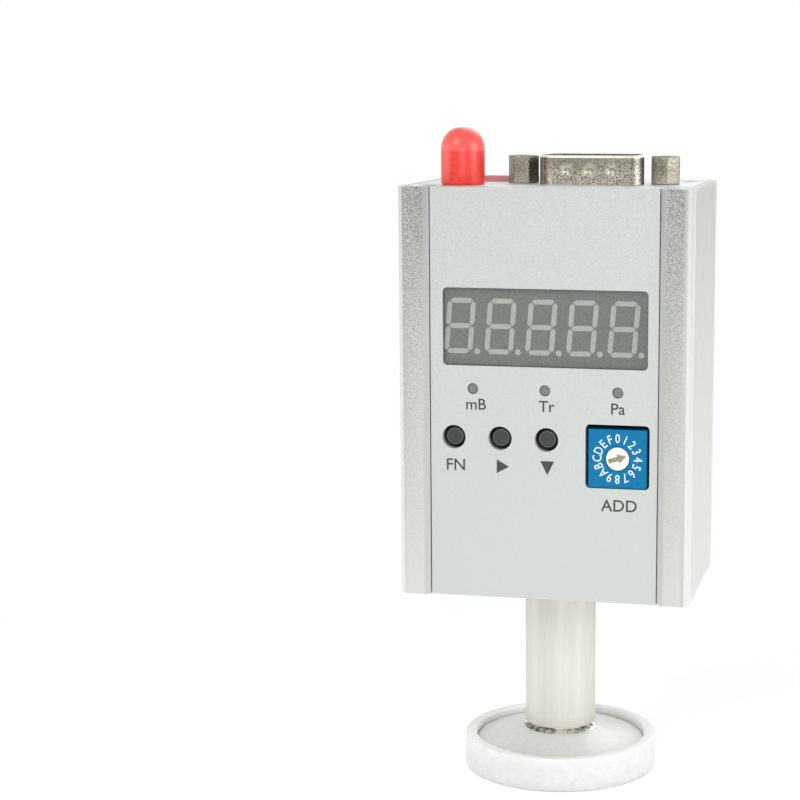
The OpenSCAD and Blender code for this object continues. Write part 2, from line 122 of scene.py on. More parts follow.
lamp("key_lamp", Vector((-0.35, -0.6, 0.55)), 0.45, 2.6)
lamp("fill_lamp", Vector((0.65, -0.2, 0.25)), 0.5, 2.6)
lamp("low_lamp", Vector((0.1, -0.55, 0.06)), 0.3, 0.6)
lamp("left_lamp", Vector((-0.6, -0.12, 0.1)), 0.4, 0.9)
lamp("back_lamp", Vector((0.1, 0.6, 0.6)), 0.5, 1.4)

floor_half = 3.0
floor_colour = (0.86, 0.86, 0.86, 1)
floor_glow = 0.3
shadow_r = 30 * mm
white_r = 160 * mm
floor_corners = [(x * floor_half, y * floor_half, 0) for x, y in ((-1, -1), (1, -1), (1, 1), (-1, 1))]
floor_data = bpy.data.meshes.new("floor")
floor_data.from_pydata(floor_corners, [], [(0, 1, 2, 3)])
floor = bpy.data.objects.new("floor", floor_data)
scene.collection.objects.link(floor)
floor_paint = bpy.data.materials.new("floor_white")
floor_paint.use_nodes = True
floor_tree = floor_paint.node_tree
# Seen straight or in a mirror the floor glows a little; to other rays it is plain pale paint.
matte = floor_tree.nodes["Principled BSDF"]
matte.inputs["Base Color"].default_value = floor_colour
matte.inputs["Roughness"].default_value = 0.9
glow = add_node(floor_tree, "ShaderNodeEmission")
glow.inputs["Strength"].default_value = floor_glow
both = add_node(floor_tree, "ShaderNodeAddShader")
by_ray = add_node(floor_tree, "ShaderNodeMixShader")
plain = add_node(floor_tree, "ShaderNodeBsdfDiffuse")
plain.inputs["Color"].default_value = floor_colour
floor_tree.links.new(matte.outputs[0], both.inputs[0])
floor_tree.links.new(glow.outputs[0], both.inputs[1])
floor_tree.links.new(white_to_the_eye(floor_tree), by_ray.inputs[0])
floor_tree.links.new(plain.outputs[0], by_ray.inputs[1])
floor_tree.links.new(both.outputs[0], by_ray.inputs[2])
# Away from the object the floor runs out into plain white.
floor_place = add_node(floor_tree, "ShaderNodeTexCoord")
away = add_node(floor_tree, "ShaderNodeVectorMath", operation="LENGTH")
run_out = add_node(floor_tree, "ShaderNodeMapRange", interpolation_type="SMOOTHSTEP")
run_out.inputs["From Min"].default_value = shadow_r
run_out.inputs["From Max"].default_value = white_r
distant = add_node(floor_tree, "ShaderNodeEmission")
whole = add_node(floor_tree, "ShaderNodeMixShader")
floor_tree.links.new(floor_place.outputs["Object"], away.inputs[0])
floor_tree.links.new(away.outputs["Value"], run_out.inputs["Value"])
floor_tree.links.new(run_out.outputs["Result"], whole.inputs[0])
floor_tree.links.new(by_ray.outputs[0], whole.inputs[1])
floor_tree.links.new(distant.outputs[0], whole.inputs[2])
floor_tree.links.new(whole.outputs[0], floor_tree.nodes["Material Output"].inputs["Surface"])
floor_data.materials.append(floor_paint)
# The gauge stands on its dust cap, so the floor goes down with the cap and keeps it in sight.
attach(floor, "flange_cap")

# Housing
# One length of aluminium extrusion: two front pillars, fluted sides and a plain back.
# It is glass-blasted and clear anodised, and its sharp edges are broken by a small chamfer.
# The pillars' speckle is strong at the top and fades downwards into a paler tone that is painted light; the
# bevels and the flutes are smooth.
grain_height = 0.05 * mm
merge_gap = 0.001 * mm
flat_angle = math.radians(0.5)
chamfer_angle = math.radians(40)
sharp_angle = math.radians(32)


# A finish with a grain: colour moves between dark and light, and the same grain lifts the surface.
def grained(name, dark, light, grain, metallic, roughness, bump, coat=0.0, stretch=(1, 1, 1), spread=0.18):
    material = bpy.data.materials.new(name)
    material.use_nodes = True
    tree = material.node_tree
    shader = tree.nodes["Principled BSDF"]
    place = add_node(tree, "ShaderNodeTexCoord")
    scale = add_node(tree, "ShaderNodeMapping")
    scale.inputs["Scale"].default_value = stretch
    noise = add_node(tree, "ShaderNodeTexNoise")
    noise.inputs["Scale"].default_value = 1 / grain
    noise.inputs["Detail"].default_value = 3
    noise.inputs["Roughness"].default_value = 0.65
    tint = add_node(tree, "ShaderNodeValToRGB")
    tint.color_ramp.elements[0].position = 0.5 - spread
    tint.color_ramp.elements[0].color = (*dark, 1)
    tint.color_ramp.elements[1].position = 0.5 + spread
    tint.color_ramp.elements[1].color = (*light, 1)
    relief = add_node(tree, "ShaderNodeBump")
    relief.inputs["Strength"].default_value = bump
    relief.inputs["Distance"].default_value = grain_height
    tree.links.new(place.outputs["Object"], scale.inputs["Vector"])
    tree.links.new(scale.outputs["Vector"], noise.inputs["Vector"])
    tree.links.new(noise.outputs["Fac"], tint.inputs["Fac"])
    tree.links.new(tint.outputs["Color"], shader.inputs["Base Color"])
    tree.links.new(noise.outputs["Fac"], relief.inputs["Height"])
    tree.links.new(relief.outputs["Normal"], shader.inputs["Normal"])
    shader.inputs["Metallic"].default_value = metallic
    shader.inputs["Roughness"].default_value = roughness
    shader.inputs["Coat Weight"].default_value = coat
    shader.inputs["Coat Roughness"].default_value = 0.08
    return material


# A copy of a node whose sharp edges are broken by a small chamfer, in the node's own place.
# Edges that the test picks out are first rounded to a radius.
def broken_edges(node, name, body, material, width, segments=2, test=None, radius=0.0):
    mesh = nodes[node].data.copy()
    work = bmesh.new()
    work.from_mesh(mesh)
    bmesh.ops.remove_doubles(work, verts=work.verts, dist=merge_gap)
    bmesh.ops.dissolve_limit(work, angle_limit=flat_angle, verts=work.verts, edges=work.edges)
    if test:
        picked = [edge for edge in work.edges if test(edge)]
        bmesh.ops.bevel(work, geom=picked, offset=radius, segments=4, profile=0.5, affect="EDGES")
    work.to_mesh(mesh)
    work.free()
    mesh.materials.clear()
    mesh.materials.append(material)
    piece = bpy.data.objects.new(name, mesh)
    scene.collection.objects.link(piece)
    chamfer = piece.modifiers.new("chamfer", "BEVEL")
    chamfer.width = width
    chamfer.segments = segments
    chamfer.limit_method = "ANGLE"
    chamfer.angle_limit = chamfer_angle
    chamfer.use_clamp_overlap = True
    bpy.context.view_layer.update()
    done = bpy.data.meshes.new_from_object(piece.evaluated_get(bpy.context.evaluated_depsgraph_get()))
    piece.modifiers.clear()
    piece.data = done
    for face in done.polygons:
        face.use_smooth = True
    done.set_sharp_from_angle(angle=sharp_angle)
    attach(piece, body)
    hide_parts(node)
    return piece


# Mixes a finish with a plain colour: none where a value is at start, and the most where it is at end.
def blend(material, colour, value, start, end, most):
    tree = material.node_tree
    shader = tree.nodes["Principled BSDF"]
    amount = add_node(tree, "ShaderNodeMapRange")
    amount.inputs["From Min"].default_value = start
    amount.inputs["From Max"].default_value = end
    amount.inputs["To Max"].default_value = most
    mix = add_node(tree, "ShaderNodeMix", data_type="RGBA")
    sockets = {socket.identifier: socket for socket in [*mix.inputs, *mix.outputs]}
    sockets["B_Color"].default_value = (*colour, 1)
    finish = shader.inputs["Base Color"].links[0].from_socket
    tree.links.new(value, amount.inputs["Value"])
    tree.links.new(amount.outputs["Result"], sockets["Factor_Float"])
    tree.links.new(finish, sockets["A_Color"])
    tree.links.new(sockets["Result_Color"], shader.inputs["Base Color"])


# A finish that changes along one coordinate of the place or of the normal.
def fade(material, colour, output, axis, start, end, most):
    tree = material.node_tree
    place = add_node(tree, "ShaderNodeTexCoord")
    parts = add_node(tree, "ShaderNodeSeparateXYZ")
    tree.links.new(place.outputs[output], parts.inputs["Vector"])
    blend(material, colour, parts.outputs[axis], start, end, most)


housing_low, housing_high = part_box("housing")
blasted = grained("blasted_aluminium", (0.4, 0.405, 0.4), (0.58, 0.585, 0.58), 0.18 * mm, 0.45, 0.5, 0.3)
pillar_finish = grained("pillar_aluminium", (0.09, 0.094, 0.087), (0.42, 0.434, 0.408), 0.18 * mm,
                        0.45, 0.5, 0.4, spread=0.11)
# Painted light: the pillars are painted paler towards the bottom.
fade(pillar_finish, (0.7, 0.715, 0.685), "Object", "Z", housing_high.z, housing_low.z, 0.9)
bevel_finish = grained("bevel_aluminium", (0.28, 0.287, 0.28), (0.35, 0.36, 0.35), 0.3 * mm, 0.4, 0.5, 0.1)
# Painted light: the bevels are painted paler towards the bottom.
fade(bevel_finish, (0.66, 0.675, 0.65), "Object", "Z", housing_high.z, housing_low.z, 0.7)
fluted = grained("fluted_aluminium", (0.57, 0.583, 0.56), (0.68, 0.695, 0.668), 0.3 * mm, 0.2, 0.6, 0.1,
                 stretch=(1, 1, 0.15))
# Painted shade: the flutes' walls that face the front are painted darker, as shade in the grooves.
fade(fluted, (0.42, 0.43, 0.41), "Normal", "Y", -0.05, -0.5, 0.55)
# Painted light: the fluted sides are painted paler towards the bottom.
fade(fluted, (0.76, 0.77, 0.745), "Object", "Z", housing_high.z, housing_low.z, 0.95)
bevel_reach = panel_high.x + 2 * mm
side_start = housing_high.x - 0.9 * mm
# Painted highlight: the right pillar is painted paler near its outer edge.
fade(pillar_finish, (0.5, 0.507, 0.495), "Object", "X", side_start - 0.8 * mm, side_start, 0.8)
housing = broken_edges("housing", "housing_extrusion", "gauge", blasted, 0.22 * mm)
for finish in (bevel_finish, fluted, pillar_finish):
    housing.data.materials.append(finish)
bevel_index, fluted_index, pillar_index = 1, 2, 3
for face in housing.data.polygons:
    to_front = face.normal.y < -0.3
    slanted = 0.3 < abs(face.normal.x) < 0.8
    if abs(face.center.x) > side_start:
        face.material_index = fluted_index
    elif abs(face.center.x) < bevel_reach and slanted and to_front:
        face.material_index = bevel_index
    elif face.center.y < panel_low.y and to_front:
        face.material_index = pillar_index

# End plates and their screws
# Two flat aluminium plates let into the ends of the extrusion, each held by countersunk screws.
# They are blasted a little brighter than the housing; the screws are bright steel.


# A node's own solid with a finish.
def dress(node, material):
    mesh = nodes[node].data
    mesh.materials.clear()
    mesh.materials.append(material)


plate_finish = grained("plate_aluminium", (0.5, 0.51, 0.51), (0.74, 0.75, 0.75), 0.14 * mm, 0.7, 0.42, 0.4)
for plate in ("top_plate", "bottom_plate"):
    dress(plate, plate_finish)
steel = grained("screw_steel", (0.5, 0.5, 0.51), (0.66, 0.66, 0.67), 0.3 * mm, 1.0, 0.28, 0.1)
for fastener in ("end_screws", "board_screws", "tube_nut"):
    dress(fastener, steel)

# Front panel
# A satin silver plate laid between the pillars, with its openings punched out.
# Its silver grain is finer and smoother than the housing's.
panel_finish = grained("panel_silver", (0.41, 0.43, 0.412), (0.57, 0.598, 0.574), 0.15 * mm,
                       0.25, 0.45, 0.12)
# Painted light: the panel is painted paler towards its lower end.
fade(panel_finish, (0.585, 0.605, 0.583), "Object", "Z", panel_high.z, panel_low.z, 0.8)
dress("front_panel", panel_finish)

# Display
# Five unlit seven-segment digits, each with its point, in a grey module behind a smoked window.
# The digits are thin pale plates on the module's face, leaning a little to the right.
module_low, module_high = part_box("display_module")
smoke = bpy.data.materials.new("smoked_window")
smoke.use_nodes = True
smoke_shader = smoke.node_tree.nodes["Principled BSDF"]
smoke_shader.inputs["Base Color"].default_value = (0.08, 0.086, 0.08, 1)
smoke_shader.inputs["Roughness"].default_value = 0.12
smoke_shader.inputs["Alpha"].default_value = 0.3
dress("display_window", smoke)
module_finish = grained("display_grey", (0.19, 0.205, 0.187), (0.32, 0.345, 0.315), 0.2 * mm,
                        0.0, 0.6, 0.05)
dress("display_module", module_finish)
digit_finish = grained("digit_grey", (0.6, 0.62, 0.57), (0.74, 0.76, 0.7), 0.3 * mm, 0.0, 0.55, 0.03)


# A flat plate from outlines in X and Z, facing the front at depth y, with a thickness behind it.
def plate_mesh(name, outlines, y, thickness):
    work = bmesh.new()
    for outline in outlines:
        front = [work.verts.new((x, y, z)) for x, z in outline]
        face = work.faces.new(front)
        back = bmesh.ops.extrude_face_region(work, geom=[face])
        moved = [item for item in back["geom"] if isinstance(item, bmesh.types.BMVert)]
        bmesh.ops.translate(work, verts=moved, vec=(0, thickness, 0))
    bmesh.ops.recalc_face_normals(work, faces=work.faces)
    mesh = bpy.data.meshes.new(name)
    work.to_mesh(mesh)
    work.free()
    return mesh


# Repeats a mesh along a line, as one piece with a plain mesh and its finish.
def repeated(name, mesh, count, step, material):
    tree = bpy.data.node_groups.new(name + "_row", "GeometryNodeTree")
    tree.interface.new_socket("Geometry", in_out="INPUT", socket_type="NodeSocketGeometry")
    sockets = (("Count", "NodeSocketInt"), ("Step", "NodeSocketVector"), ("Finish", "NodeSocketMaterial"))
    for socket, kind in sockets:
        tree.interface.new_socket(socket, in_out="INPUT", socket_type=kind)
    tree.interface.new_socket("Geometry", in_out="OUTPUT", socket_type="NodeSocketGeometry")
    given = tree.nodes.new("NodeGroupInput")
    result = tree.nodes.new("NodeGroupOutput")
    line = tree.nodes.new("GeometryNodeMeshLine")
    copies = tree.nodes.new("GeometryNodeInstanceOnPoints")
    real = tree.nodes.new("GeometryNodeRealizeInstances")
    finish = tree.nodes.new("GeometryNodeSetMaterial")
    tree.links.new(given.outputs["Count"], line.inputs["Count"])
    tree.links.new(given.outputs["Step"], line.inputs["Offset"])
    tree.links.new(line.outputs["Mesh"], copies.inputs["Points"])
    tree.links.new(given.outputs["Geometry"], copies.inputs["Instance"])
    tree.links.new(copies.outputs["Instances"], real.inputs["Geometry"])
    tree.links.new(real.outputs["Geometry"], finish.inputs["Geometry"])
    tree.links.new(given.outputs["Finish"], finish.inputs["Material"])
    tree.links.new(finish.outputs["Geometry"], result.inputs["Geometry"])
    piece = bpy.data.objects.new(name, mesh)
    scene.collection.objects.link(piece)
    row = piece.modifiers.new("row", "NODES")
    row.node_group = tree
    ids = {item.name: item.identifier for item in tree.interface.items_tree if item.in_out == "INPUT"}
    row[ids["Count"]] = count
    row[ids["Step"]] = step
    row[ids["Finish"]] = material
    bpy.context.view_layer.update()
    done = bpy.data.meshes.new_from_object(piece.evaluated_get(bpy.context.evaluated_depsgraph_get()))
    piece.modifiers.clear()
    piece.data = done
    return piece


digit_count = 5
digit_w = 4.1 * mm
digit_h = 8.65 * mm
segment_t = 0.85 * mm
segment_gap = 0.12 * mm
digit_lean = math.tan(math.radians(4.5))
digit_pitch = 7.06 * mm
first_digit_x = -14.61 * mm
digit_z = panel_low.z + 46.98 * mm
point_x = 3.35 * mm
point_r = 0.5 * mm
face_t = 0.06 * mm
digit_t = 0.05 * mm


# The outline of one segment: a bar with pointed ends that leans with the digit.
def bar(x, z, length, upright):
    half = length / 2 - segment_gap
    side = segment_t / 2
    shape = [(-half, 0), (-half + side, -side), (half - side, -side),
             (half, 0), (half - side, side), (-half + side, side)]
    if upright:
        shape = [(-b, a) for a, b in shape]
    return [(x + a + (z + b) * digit_lean, z + b) for a, b in shape]


# The round outline of a digit's point.
def circle_outline(x, z, r, count=24):
    turn = 2 * math.pi / count
    return [(x + r * math.cos(i * turn), z + r * math.sin(i * turn)) for i in range(count)]


segments = [bar(0, z, digit_w, False) for z in (-digit_h / 2, 0, digit_h / 2)]
segments += [bar(sx * digit_w / 2, sz * digit_h / 4, digit_h / 2, True) for sx in (-1, 1) for sz in (-1, 1)]
segments.append(circle_outline(point_x - digit_h / 2 * digit_lean, -digit_h / 2, point_r))
placed = [[(first_digit_x + x, digit_z + z) for x, z in shape] for shape in segments]
face_y = module_low.y - face_t
digit_mesh = plate_mesh("digits", placed, face_y - digit_t, digit_t)
digits = repeated("digits", digit_mesh, digit_count, (digit_pitch, 0, 0), digit_finish)
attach(digits, "gauge")
face_outline = [(module_low.x, module_low.z), (module_high.x, module_low.z),
                (module_high.x, module_high.z), (module_low.x, module_high.z)]
face_mesh = plate_mesh("display_face", [face_outline], face_y, face_t)
face_mesh.materials.append(module_finish)
display_face = bpy.data.objects.new("display_face", face_mesh)
scene.collection.objects.link(display_face)
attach(display_face, "gauge")

# Lamps and buttons
# Grey lamp ends stand just inside their holes, and black plungers sink a little into theirs.
# Both are moulded plastic, the plungers with a soft sheen.
lamp_finish = grained("lamp_grey", (0.16, 0.165, 0.155), (0.2, 0.205, 0.19), 0.4 * mm, 0.0, 0.25, 0.05,
                      coat=0.4)
dress("unit_lamps", lamp_finish)
moulded = grained("moulded_black", (0.012, 0.012, 0.012), (0.022, 0.022, 0.022), 0.2 * mm, 0.0, 0.45, 0.1)
dress("button_switches", moulded)


# A finish that changes with the distance from a point.
def fade_round(material, colour, middle, start, end, most):
    tree = material.node_tree
    place = add_node(tree, "ShaderNodeTexCoord")
    away = add_node(tree, "ShaderNodeVectorMath", operation="DISTANCE")
    away.inputs[1].default_value = middle
    tree.links.new(place.outputs["Object"], away.inputs[0])
    blend(material, colour, away.outputs["Value"], start, end, most)


# Each plunger's face is a little paler than its sloped rim, with a painted highlight on a thin ring just
# outside it.
plunger_rim = 0.5 * mm
ring_end, ring_full = 0.24 * mm, 0.18 * mm
face_end, face_full = 0.08 * mm, 0.02 * mm
for part in ("button_fn", "button_right", "button_down"):
    low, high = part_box(part)
    middle = ((low.x + high.x) / 2, low.y, (low.z + high.z) / 2)
    face_r = (high.x - low.x) / 2 - plunger_rim
    black = grained(part + "_black", (0.008, 0.009, 0.008), (0.016, 0.017, 0.016), 0.2 * mm, 0.0, 0.45, 0.1)
    fade_round(black, (0.19, 0.2, 0.19), middle, face_r + ring_end, face_r + ring_full, 1.0)
    fade_round(black, (0.026, 0.033, 0.027), middle, face_r + face_end, face_r + face_full, 1.0)
    dress(part, black)

# Address switch
# A square blue switch body sunk in its window, with sixteen pale marks around a white dial.
# The dial has an arrow slot for a screwdriver and turns by itself.
switch_low, switch_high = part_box("selector_body")
switch_x = (switch_low.x + switch_high.x) / 2
switch_z = (switch_low.z + switch_high.z) / 2
switch_blue = grained("selector_blue", (0.001, 0.15, 0.33), (0.003, 0.185, 0.4), 0.35 * mm, 0.0, 0.4, 0.1)
switch_blue.node_tree.nodes["Principled BSDF"].inputs["Specular IOR Level"].default_value = 0.15
dress("selector_body", switch_blue)
dial_finish = grained("dial_white", (0.76, 0.75, 0.71), (0.86, 0.86, 0.83), 0.4 * mm, 0.0, 0.4, 0.08)
dress("selector_dial", dial_finish)
# A darker beige sheet laid on the slot's floor is painted shade, so the arrow shows against the dial.
dial_low, dial_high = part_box("selector_dial")
dial_d = dial_high.z - dial_low.z
slot_depth = 0.6 * mm
slot_raise = 0.1 * mm
slot_t = 0.08 * mm
slot_turn = math.radians(18)
# The arrow's outline, in shares of the dial's diameter.
slot_shape = [(-0.41, -0.09), (0.03, -0.09), (0.03, -0.2), (0.38, 0),
              (0.03, 0.2), (0.03, 0.09), (-0.41, 0.09)]
slot_cos = dial_d * math.cos(slot_turn)
slot_sin = dial_d * math.sin(slot_turn)
slot_outline = [(switch_x + a * slot_cos - b * slot_sin, switch_z + a * slot_sin + b * slot_cos)
                for a, b in slot_shape]
slot_mesh = plate_mesh("dial_arrow", [slot_outline], dial_low.y + slot_depth - slot_raise, slot_t)
slot_painted_shade = grained("slot_painted_shade", (0.34, 0.29, 0.2), (0.46, 0.4, 0.3), 0.3 * mm, 0.0, 0.5, 0.05)
slot_mesh.materials.append(slot_painted_shade)
dial_arrow = bpy.data.objects.new("dial_arrow", slot_mesh)
scene.collection.objects.link(dial_arrow)
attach(dial_arrow, "address_dial")
mark_finish = grained("mark_white", (0.68, 0.78, 0.86), (0.78, 0.86, 0.92), 0.3 * mm, 0.0, 0.5, 0.03)
mark_ring = 3.42 * mm
mark_h = 1.6 * mm
ink_t = 0.02 * mm
stroke_gain = 0.02 * mm
mark_narrow = 0.8
# The height of a capital, as a share of the size that the font gives.
capital_share = 0.73


# Letters as one thin mesh, each set at (x, z), turned clockwise, facing the front at depth y.
def lettering(name, items, y, material, body, narrow=1.0):
    work = bmesh.new()
    for text, x, z, height, turn in items:
        curve = bpy.data.curves.new(name, "FONT")
        curve.body = text
        curve.align_x = "CENTER"
        curve.align_y = "CENTER"
        curve.size = height / capital_share
        curve.resolution_u = 4
        curve.extrude = ink_t / 2
        curve.offset = stroke_gain
        letter = bpy.data.objects.new(name, curve)
        scene.collection.objects.link(letter)
        bpy.context.view_layer.update()
        mesh = bpy.data.meshes.new_from_object(letter.evaluated_get(bpy.context.evaluated_depsgraph_get()))
        bpy.data.objects.remove(letter)
        place = Matrix.Translation((x, y - ink_t / 2, z)) @ Matrix.Rotation(turn, 4, "Y")
        mesh.transform(place @ Matrix.Rotation(math.pi / 2, 4, "X") @ Matrix.Scale(narrow, 4, (1, 0, 0)))
        work.from_mesh(mesh)
        bpy.data.meshes.remove(mesh)
    done = bpy.data.meshes.new(name)
    work.to_mesh(done)
    work.free()
    done.materials.append(material)
    piece = bpy.data.objects.new(name, done)
    scene.collection.objects.link(piece)
    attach(piece, body)


marks = []
characters = "0123456789ABCDEF"
for i, character in enumerate(characters):
    turn = 2 * math.pi * i / len(characters)
    mark_x = switch_x + mark_ring * math.sin(turn)
    mark_z = switch_z + mark_ring * math.cos(turn)
    marks.append((character, mark_x, mark_z, mark_h, turn))
lettering("dial_marks", marks, switch_low.y, mark_finish, "gauge", mark_narrow)

# Panel print
# Short unit and key legends and two key arrows, printed in dark grey on the panel.
# The ink is a thin layer on the panel's face.
ink = grained("panel_ink", (0.03, 0.031, 0.032), (0.055, 0.056, 0.057), 0.2 * mm, 0.0, 0.6, 0.05)
# Each legend's place across the panel and up from its lower end, and its height, in millimetres.
legends = [("mB", -11.7, 33.55, 2.0), ("Tr", 0.6, 33.52, 2.0), ("Pa", 12.8, 33.48, 2.0),
           ("FN", -15.25, 22.95, 2.1), ("ADD", 13.2, 16.85, 2.1)]
lettering("panel_legends", [(text, x * mm, panel_low.z + z * mm, h * mm, 0) for text, x, z, h in legends],
          panel_low.y, ink, "gauge")
arrow = 1.2 * mm
right_x, down_x, arrow_z = -7.1 * mm, 0.75 * mm, panel_low.z + 23.0 * mm
arrow_back = right_x - arrow * 0.8
arrows = [[(arrow_back, arrow_z - arrow), (right_x + arrow, arrow_z), (arrow_back, arrow_z + arrow)],
          [(down_x - arrow, arrow_z + arrow), (down_x, arrow_z - arrow), (down_x + arrow, arrow_z + arrow)]]
arrow_mesh = plate_mesh("key_arrows", arrows, panel_low.y - ink_t, ink_t)
arrow_mesh.materials.append(ink)
key_arrows = bpy.data.objects.new("key_arrows", arrow_mesh)
scene.collection.objects.link(key_arrows)
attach(key_arrows, "gauge")

# Connector
# A drawn steel shell with dull nickel plating, a black insert with gilt pins, and two jackscrews.
# The plating is mottled; painted shade makes it darker towards the top, and a painted highlight brightens
# the shell's rounded rim.
nickel = grained("nickel", (0.055, 0.051, 0.037), (0.45, 0.435, 0.355), 0.24 * mm, 0.9, 0.34, 0.2,
                 spread=0.12)
shell_low, shell_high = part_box("dsub_shell")
# Painted shade: the plating is painted darker towards the top.
fade(nickel, (0.13, 0.12, 0.095), "Object", "Z", shell_high.z - 3.2 * mm, shell_high.z - 1.2 * mm, 0.5)
# Painted highlight along the shell's rounded rim.
fade(nickel, (0.85, 0.82, 0.73), "Object", "Z", shell_high.z - 0.5 * mm, shell_high.z - 0.3 * mm, 0.85)
shell_middle = (shell_low + shell_high) / 2
# The three pressed dimples get painted highlights.
dimple_pitch = 3.9 * mm
dimple_rise = 2.5 * mm
dimple_edge, dimple_core = 1.4 * mm, 0.2 * mm
mouth = [vert.co for vert in nodes["dsub_shell"].data.vertices if vert.co.z > shell_high.z - 1 * mm]
shell_front = min(point.y for point in mouth)
for i in (-1, 0, 1):
    dimple = (shell_middle.x + i * dimple_pitch, shell_front, housing_high.z + dimple_rise)
    fade_round(nickel, (0.8, 0.78, 0.68), dimple, dimple_edge, dimple_core, 0.4)
rim_gap = 0.01 * mm
rim_radius = 0.42 * mm


# True for the edges around the outside of the shell's mouth.
def outer_rim(edge):
    if min(vert.co.z for vert in edge.verts) < shell_high.z - rim_gap:
        return False
    middle = (edge.verts[0].co + edge.verts[1].co) / 2 - shell_middle
    return any(abs(face.normal.z) < 0.5 and face.normal.dot(middle) > 0 for face in edge.link_faces)


shell = broken_edges("dsub_shell", "connector_shell", "gauge", nickel, 0.1 * mm, 2, outer_rim, rim_radius)
# The inside of the shell and its rim's flat edge are painted dark as shade.
wall_depth = 5 * mm
shell_inner_shade_index = 1
shell_inner_shade = grained("shell_inner_shade_nickel", (0.05, 0.047, 0.036), (0.16, 0.15, 0.12), 0.24 * mm, 0.8, 0.5, 0.1)
shell.data.materials.append(shell_inner_shade)
for face in shell.data.polygons:
    outward = face.normal.dot(face.center - shell_middle)
    rim_face = face.normal.z > 0.97 and face.center.z > shell_high.z - 0.05 * mm
    in_the_mouth = face.center.z > shell_high.z - wall_depth and abs(face.normal.z) < 0.6
    if rim_face or (in_the_mouth and outward < 0):
        face.material_index = shell_inner_shade_index
dull_nickel = grained("dull_nickel", (0.09, 0.085, 0.062), (0.31, 0.298, 0.238), 0.24 * mm, 0.8, 0.38, 0.15,
                      spread=0.12)
jack_middle = housing_high.z + 2.5 * mm
# Painted light: the jackscrews are painted paler towards their lower ends.
fade(dull_nickel, (0.62, 0.6, 0.5), "Object", "Z", jack_middle, housing_high.z, 0.4)
jacks = broken_edges("jackscrews", "connector_jackscrews", "gauge", dull_nickel, 0.35 * mm, 3)
gilt = grained("gold_pin", (0.65, 0.45, 0.16), (0.8, 0.6, 0.26), 0.3 * mm, 1.0, 0.25, 0.05)
dress("dsub_pins", gilt)
dress("dsub_insert", moulded)

# Parts inside
# A green circuit board on four metal spacers, and the sensor's glass header with its posts and fine wire.
# The housing and the tube hide them.
board_green = grained("board_green", (0.015, 0.1, 0.04), (0.03, 0.14, 0.06), 0.6 * mm, 0.0, 0.4, 0.1)
dress("main_board", board_green)
header_glass = grained("header_glass", (0.2, 0.3, 0.25), (0.3, 0.4, 0.35), 0.5 * mm, 0.0, 0.2, 0.05)
dress("sensor_header", header_glass)
for part in ("board_spacers", "filament_posts", "filament"):
    dress(part, nickel)

# Port, red cap and strap
# A gilt port with its nut, and a soft vinyl cap pushed over it, dipped in one piece.
# A strap is pegged behind the left jackscrew.
# The vinyl is bright and has a gentle gloss; a painted highlight makes a faint pale line where the dome
# starts, and the dome is painted paler as sheen.
dress("port_stem", gilt)
dress("port_nut", nickel)
vinyl = grained("cap_red", (0.72, 0.024, 0.015), (0.8, 0.035, 0.024), 1.2 * mm, 0.0, 0.45, 0.04, coat=0.6)
vinyl_shader = vinyl.node_tree.nodes["Principled BSDF"]
vinyl_shader.inputs["Specular IOR Level"].default_value = 0.3
vinyl_shader.inputs["Coat Roughness"].default_value = 0.27
dome_h = 3.8 * mm
dome_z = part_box("port_cap")[1].z - dome_h
# Painted highlight: a thin pale line where the dome starts.
fade(vinyl, (0.95, 0.2, 0.17), "Object", "Z", dome_z - 0.15 * mm, dome_z, 0.45)
# Painted sheen: the dome above the line is painted paler than the body.
fade(vinyl, (0.82, 0.08, 0.062), "Object", "Z", dome_z + 0.02 * mm, dome_z + 0.2 * mm, 0.85)
cap = broken_edges("port_cap", "red_cap", "red_cap", vinyl, 0.25 * mm, 3)
strap_red = grained("strap_red", (0.88, 0.36, 0.38), (0.93, 0.42, 0.44), 1.0 * mm, 0.0, 0.4, 0.05)
dress("cap_strap", strap_red)

# Sensor tube and flange
# Polished stainless steel: a straight tube, a narrow welded neck and a turned clamp flange.
# Faint drawing lines run along the tube; the flange is duller, and the neck's patches of shine are painted
# reflections.


# A piece turned around the tube's axis from a closed profile of (radius, height), with its corners rounded.
def turned(node, name, body, material, profile, fillet, steps=144):
    blunt = math.radians(150)
    corners = []
    count = len(profile)
    for i in range(count):
        before, here, after = (Vector(profile[(i + k) % count]) for k in (-1, 0, 1))
        back, ahead = before - here, after - here
        on_axis = here.x < 0.01 * mm
        if on_axis or back.angle(ahead) > blunt:
            corners.append(here)
            continue
        reach = min(fillet, back.length * 0.4, ahead.length * 0.4)
        start, end = here + back.normalized() * reach, here + ahead.normalized() * reach
        for share in (0, 0.25, 0.5, 0.75, 1):
            corners.append(start.lerp(here, share).lerp(here.lerp(end, share), share))
    work = bmesh.new()
    rings = []
    for step in range(steps):
        angle = 2 * math.pi * step / steps
        rings.append([work.verts.new((r * math.cos(angle), r * math.sin(angle), z)) for r, z in corners])
    for ring, following in zip(rings, rings[1:] + rings[:1]):
        for i in range(len(corners)):
            k = (i + 1) % len(corners)
            work.faces.new((ring[i], following[i], following[k], ring[k]))
    bmesh.ops.remove_doubles(work, verts=work.verts, dist=merge_gap)
    bmesh.ops.recalc_face_normals(work, faces=work.faces)
    mesh = bpy.data.meshes.new(name)
    work.to_mesh(mesh)
    work.free()
    for face in mesh.polygons:
        face.use_smooth = True
    mesh.set_sharp_from_angle(angle=sharp_angle)
    mesh.materials.append(material)
    piece = bpy.data.objects.new(name, mesh)
    scene.collection.objects.link(piece)
    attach(piece, body)
    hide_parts(node)
    return piece


tube_steel = grained("tube_steel", (0.655, 0.645, 0.58), (0.71, 0.705, 0.655), 1.6 * mm, 0.35, 0.46, 0.05,
                     stretch=(1, 1, 0.08))
turned_steel = grained("turned_steel", (0.66, 0.67, 0.635), (0.72, 0.73, 0.7), 1.0 * mm, 0.25, 0.5, 0.05)
tube_low, tube_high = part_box("sensor_tube")
tube_r = tube_high.x
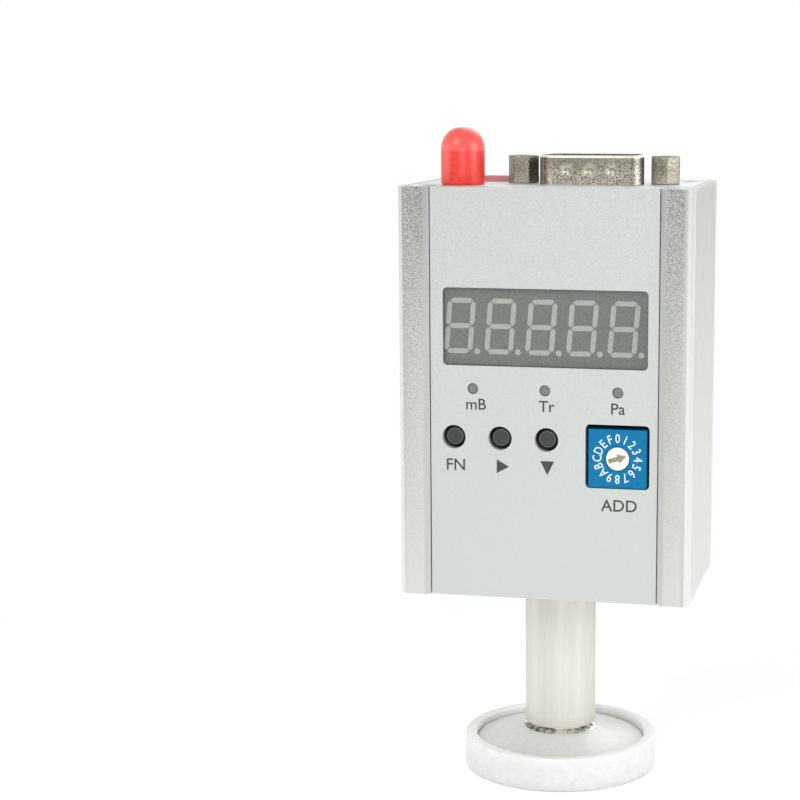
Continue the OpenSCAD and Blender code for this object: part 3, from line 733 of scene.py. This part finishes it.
# The tube turns darker and warmer over its lowest two millimetres.
fade(tube_steel, (0.56, 0.525, 0.455), "Object", "Z", tube_low.z + 2 * mm, tube_low.z + 0.3 * mm, 0.6)
steel_fillet = 0.2 * mm
bore_r = 4.5 * mm
thread_r = 5.5 * mm
tube_profile = [(bore_r, tube_low.z), (tube_r, tube_low.z), (tube_r, housing_low.z),
                (thread_r, housing_low.z), (thread_r, tube_high.z), (bore_r, tube_high.z)]
tube = turned("sensor_tube", "sensor_tube_polished", "gauge", tube_steel, tube_profile, steel_fillet)
# Painted reflection: dark and bright bands run around the neck.
neck_reflection_steel = grained("neck_reflection_steel", (0.16, 0.155, 0.14), (0.95, 0.94, 0.9), 2.2 * mm, 0.8, 0.4, 0.05,
                     stretch=(1, 1, 0.2), spread=0.08)
flange_low, flange_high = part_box("flange")
flange_r = flange_high.x
recess_r = 8.6 * mm
recess_top = flange_low.z + 2.6 * mm
rim_top = flange_low.z + 3 * mm
foot_r, foot_z = 6.5 * mm, flange_high.z - 1 * mm
neck_r, neck_z = 5.3 * mm, flange_high.z - 0.4 * mm
flange_profile = [(bore_r, recess_top), (recess_r, recess_top), (recess_r, flange_low.z),
                  (flange_r, flange_low.z), (flange_r, rim_top), (foot_r, foot_z), (neck_r, neck_z),
                  (neck_r, flange_high.z), (bore_r, flange_high.z)]
flange = turned("flange", "clamp_flange", "gauge", turned_steel, flange_profile, steel_fillet)
flange.data.materials.append(neck_reflection_steel)
neck_index = 1
for face in flange.data.polygons:
    if face.center.xy.length < foot_r - steel_fillet and face.center.z > foot_z:
        face.material_index = neck_index

# Dust cap
# A shallow cup of natural polythene pressed over the flange, cloudy, so light goes a little way in.
# The gauge stands on its flat bottom.
cloudy = grained("dust_plastic", (0.76, 0.77, 0.75), (0.84, 0.85, 0.83), 1.5 * mm, 0.0, 0.38, 0.06)
cloudy_shader = cloudy.node_tree.nodes["Principled BSDF"]
cloudy_shader.inputs["Subsurface Weight"].default_value = 0.8
cloudy_shader.inputs["Subsurface Scale"].default_value = 1.0
cloudy_shader.inputs["Subsurface Radius"].default_value = (0.003, 0.003, 0.003)
dust_low, dust_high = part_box("dust_cap")
dust_wall = 2.05 * mm
dust_fillet = 0.4 * mm
dust_r = dust_high.x
dust_inner_r = dust_r - dust_wall
dust_profile = [(0, dust_low.z), (dust_r, dust_low.z), (dust_r, dust_high.z), (dust_inner_r, dust_high.z),
                (dust_inner_r, flange_low.z), (0, flange_low.z)]
dust = turned("dust_cap", "flange_dust_cap", "flange_cap", cloudy, dust_profile, dust_fillet)
